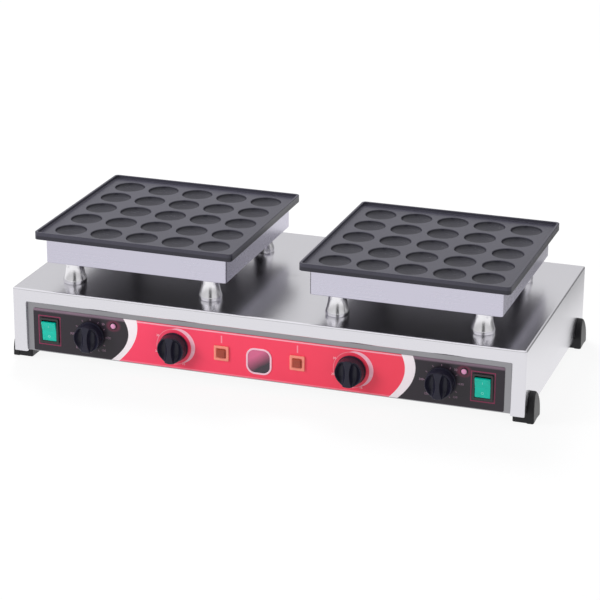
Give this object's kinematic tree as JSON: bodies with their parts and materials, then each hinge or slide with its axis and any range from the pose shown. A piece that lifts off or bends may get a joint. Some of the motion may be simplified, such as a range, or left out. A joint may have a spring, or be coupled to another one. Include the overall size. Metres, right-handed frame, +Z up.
{
  "type": "twin electric mini pancake grill",
  "caption": "Countertop grill with two square baking plates of dished wells on short conical legs, over a low steel casing with knobs, rocker switches and lamps along its front.",
  "frame": {"origin": "on the worktop, below the middle of the outline", "axes": "+X to the user's right along the control panel, +Y from the control panel to the back, +Z up"},
  "size_m": [0.78, 0.4084, 0.1937],
  "materials": {
    "casing_steel": "stainless sheet with a fine satin grain",
    "skirt_steel": "stainless sheet with a fine satin grain",
    "cover_steel": "plain galvanised sheet",
    "tray_steel": "heat-darkened sheet",
    "leg_steel": "turned and polished stainless steel",
    "plain_steel": "plain zinc-plated steel",
    "element_sheath": "dark oxidised heater sheath",
    "plate_coating": "cast aluminium with a dark non-stick coat",
    "overlay_film": "printed film, red middle and black ends",
    "knob_plastic": "black moulded plastic",
    "foot_plastic": "black moulded plastic",
    "switch_plastic": "black moulded plastic",
    "gland_plastic": "black moulded plastic",
    "control_body": "pressed steel can",
    "green_lens": "translucent green lens",
    "amber_lens": "translucent amber lens",
    "pink_lens": "translucent pink lens",
    "terminal_ceramic": "unglazed white ceramic",
    "mineral_wool": "pressed mineral wool board"
  },
  "bodies": {
    "root": {"casing": "casing_steel", "bottom_cover": "cover_steel", "control_panel": "casing_steel", "panel_overlay": "overlay_film", "foot_front_left": "foot_plastic", "foot_front_right": "foot_plastic", "foot_rear_left": "foot_plastic", "foot_rear_right": "foot_plastic", "left_thermostat": "control_body", "left_timer": "control_body", "left_switch_housing": "switch_plastic", "left_pilot_lamp": "amber_lens", "left_indicator_lamp": "pink_lens", "left_leg_front_left": "leg_steel", "left_bolt_front_left": "plain_steel", "left_leg_front_right": "leg_steel", "left_bolt_front_right": "plain_steel", "left_leg_rear_left": "leg_steel", "left_bolt_rear_left": "plain_steel", "left_leg_rear_right": "leg_steel", "left_bolt_rear_right": "plain_steel", "left_lead_sleeve": "leg_steel", "left_tray": "tray_steel", "left_skirt": "skirt_steel", "left_insulation": "mineral_wool", "left_clamp_plate": "plain_steel", "left_heating_element": "element_sheath", "left_baking_plate": "plate_coating", "right_thermostat": "control_body", "right_timer": "control_body", "right_switch_housing": "switch_plastic", "right_pilot_lamp": "amber_lens", "right_indicator_lamp": "pink_lens", "right_leg_front_left": "leg_steel", "right_bolt_front_left": "plain_steel", "right_leg_front_right": "leg_steel", "right_bolt_front_right": "plain_steel", "right_leg_rear_left": "leg_steel", "right_bolt_rear_left": "plain_steel", "right_leg_rear_right": "leg_steel", "right_bolt_rear_right": "plain_steel", "right_lead_sleeve": "leg_steel", "right_tray": "tray_steel", "right_skirt": "skirt_steel", "right_insulation": "mineral_wool", "right_clamp_plate": "plain_steel", "right_heating_element": "element_sheath", "right_baking_plate": "plate_coating", "cable_gland": "gland_plastic", "terminal_block": "terminal_ceramic"},
    "left_thermostat_control": {"left_thermostat_knob": "knob_plastic", "left_thermostat_shaft": "plain_steel"},
    "left_timer_control": {"left_timer_knob": "knob_plastic", "left_timer_shaft": "plain_steel"},
    "right_timer_control": {"right_timer_knob": "knob_plastic", "right_timer_shaft": "plain_steel"},
    "right_thermostat_control": {"right_thermostat_knob": "knob_plastic", "right_thermostat_shaft": "plain_steel"},
    "left_rocker": {"left_switch_rocker": "green_lens"},
    "right_rocker": {"right_switch_rocker": "green_lens"}
  },
  "joints": [
    {"name": "left_thermostat_turn", "type": "hinge", "parent": "root", "child": "left_thermostat_control", "pos_m": [-0.261, -0.18355, 0.05], "axis": [0, 1, 0], "range_deg": [0, 270]},
    {"name": "left_timer_turn", "type": "hinge", "parent": "root", "child": "left_timer_control", "pos_m": [-0.132, -0.18355, 0.05], "axis": [0, 1, 0], "range_deg": [0, 300]},
    {"name": "right_timer_turn", "type": "hinge", "parent": "root", "child": "right_timer_control", "pos_m": [0.132, -0.18355, 0.05], "axis": [0, 1, 0], "range_deg": [0, 300]},
    {"name": "right_thermostat_turn", "type": "hinge", "parent": "root", "child": "right_thermostat_control", "pos_m": [0.261, -0.18355, 0.05], "axis": [0, 1, 0], "range_deg": [0, 270]},
    {"name": "left_rocker_tip", "type": "hinge", "parent": "root", "child": "left_rocker", "pos_m": [-0.325, -0.18075, 0.05], "axis": [1, 0, 0], "range_deg": [-16, 0]},
    {"name": "right_rocker_tip", "type": "hinge", "parent": "root", "child": "right_rocker", "pos_m": [0.32, -0.18075, 0.05], "axis": [1, 0, 0], "range_deg": [-16, 0]}
  ]
}
